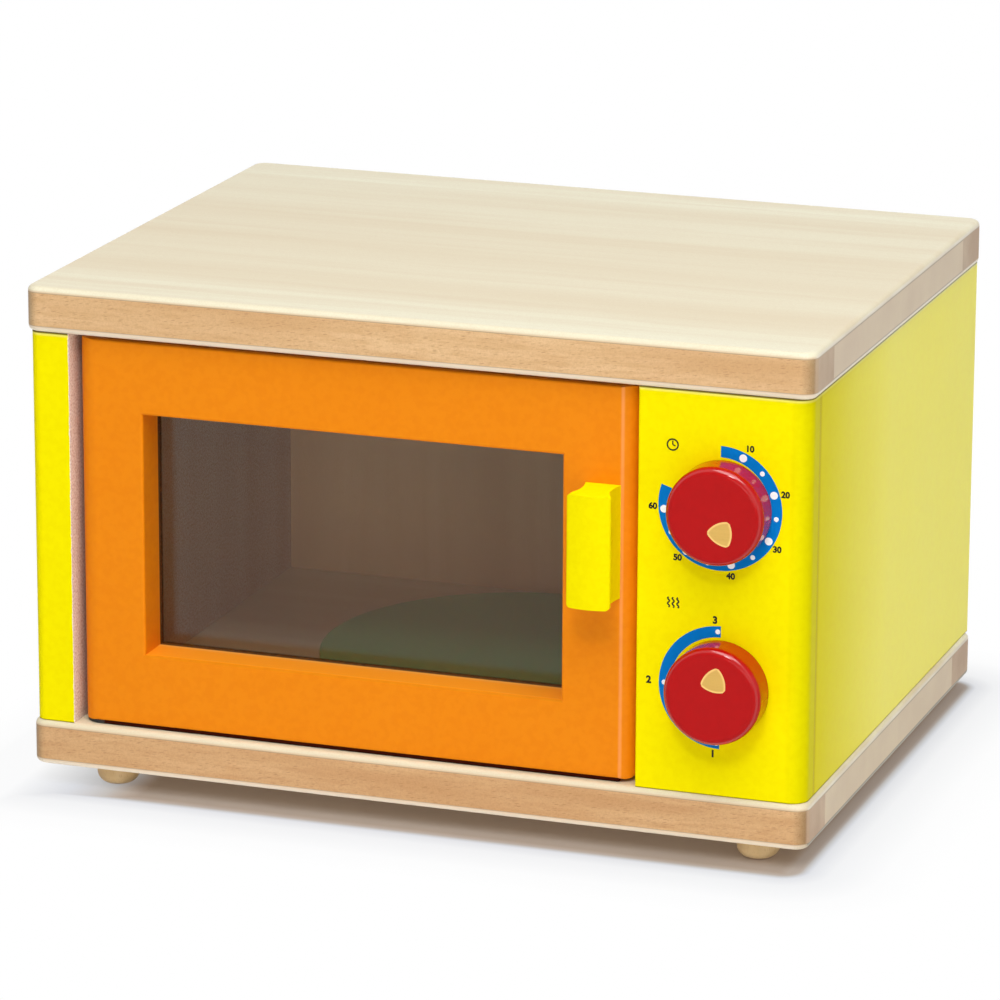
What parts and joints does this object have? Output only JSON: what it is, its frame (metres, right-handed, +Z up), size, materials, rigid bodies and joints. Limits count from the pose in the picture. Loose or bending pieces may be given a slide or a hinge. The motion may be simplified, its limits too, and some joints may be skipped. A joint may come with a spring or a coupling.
{
  "type": "toy oven",
  "caption": "Wooden toy oven with a hinged door, dark window, grip handle, turning knobs and a turntable between thick boards on small round feet.",
  "frame": {"origin": "on the table surface, under the middle of the object's overall box", "axes": "+Z up, the door and knobs face -Y, the control panel is on the +X side"},
  "size_m": [0.33, 0.27, 0.2089],
  "materials": {
    "core_wood": "bare sanded end grain of the boards' middle layer",
    "beech": "sanded and oiled, satin",
    "pale_facing": "pale veneer under clear satin lacquer",
    "yellow_paint": "yellow satin lacquer on solid wood",
    "bare_wood": "bare sanded",
    "orange_paint": "orange satin lacquer on solid wood",
    "red_lacquer": "glossy red lacquer on turned wood",
    "pointer_wood": "clear lacquered pale wood",
    "smoked_pane": "smoked clear acrylic, polished",
    "green_paint": "green satin lacquer on wood",
    "steel": "zinc plated",
    "nylon": "natural nylon",
    "black_nylon": "black nylon"
  },
  "bodies": {
    "case": {"base_core": "core_wood", "base_front_strip": "beech", "base_back_strip": "beech", "base_upper_facing": "pale_facing", "base_lower_facing": "pale_facing", "top_core": "core_wood", "top_front_strip": "beech", "top_back_strip": "beech", "top_upper_facing": "pale_facing", "top_lower_facing": "pale_facing", "left_side_panel": "yellow_paint", "right_side_panel": "yellow_paint", "control_panel": "yellow_paint", "back_panel": "bare_wood", "door_stop_post": "bare_wood", "casing_dowels": "beech", "back_panel_screws": "steel", "stop_post_screws": "steel", "foot_front_left": "beech", "foot_front_right": "beech", "foot_back_left": "beech", "foot_back_right": "beech", "lower_hinge_bush": "nylon", "upper_hinge_bush": "nylon", "catch_magnet": "steel", "turntable_pin": "steel", "turntable_spacer": "nylon"},
    "door": {"door_frame": "orange_paint", "window_pane": "smoked_pane", "pane_screws": "steel", "door_handle": "yellow_paint", "handle_screws": "steel", "lower_hinge_pin": "steel", "upper_hinge_pin": "steel", "hinge_washer": "black_nylon", "catch_plate": "steel", "catch_plate_screw": "steel"},
    "timer": {"timer_knob": "red_lacquer", "timer_pointer": "pointer_wood", "timer_spindle": "beech", "timer_washer": "nylon", "timer_screw": "steel"},
    "power": {"power_knob": "red_lacquer", "power_pointer": "pointer_wood", "power_spindle": "beech", "power_washer": "nylon", "power_screw": "steel"},
    "turntable": {"turntable_disc": "green_paint"}
  },
  "joints": [
    {"name": "door_hinge", "type": "hinge", "parent": "case", "child": "door", "pos_m": [-0.1363, -0.107, 0.0267], "axis": [0, 0, -1], "range_deg": [0, 100]},
    {"name": "timer_turn", "type": "hinge", "parent": "case", "child": "timer", "pos_m": [0.1287, -0.1178, 0.1437], "axis": [0, -1, 0], "continuous": true},
    {"name": "power_turn", "type": "hinge", "parent": "case", "child": "power", "pos_m": [0.1287, -0.1178, 0.0709], "axis": [0, -1, 0], "continuous": true},
    {"name": "turntable_spin", "type": "hinge", "parent": "case", "child": "turntable", "pos_m": [0, 0.01425, 0.03], "axis": [0, 0, 1], "continuous": true}
  ]
}
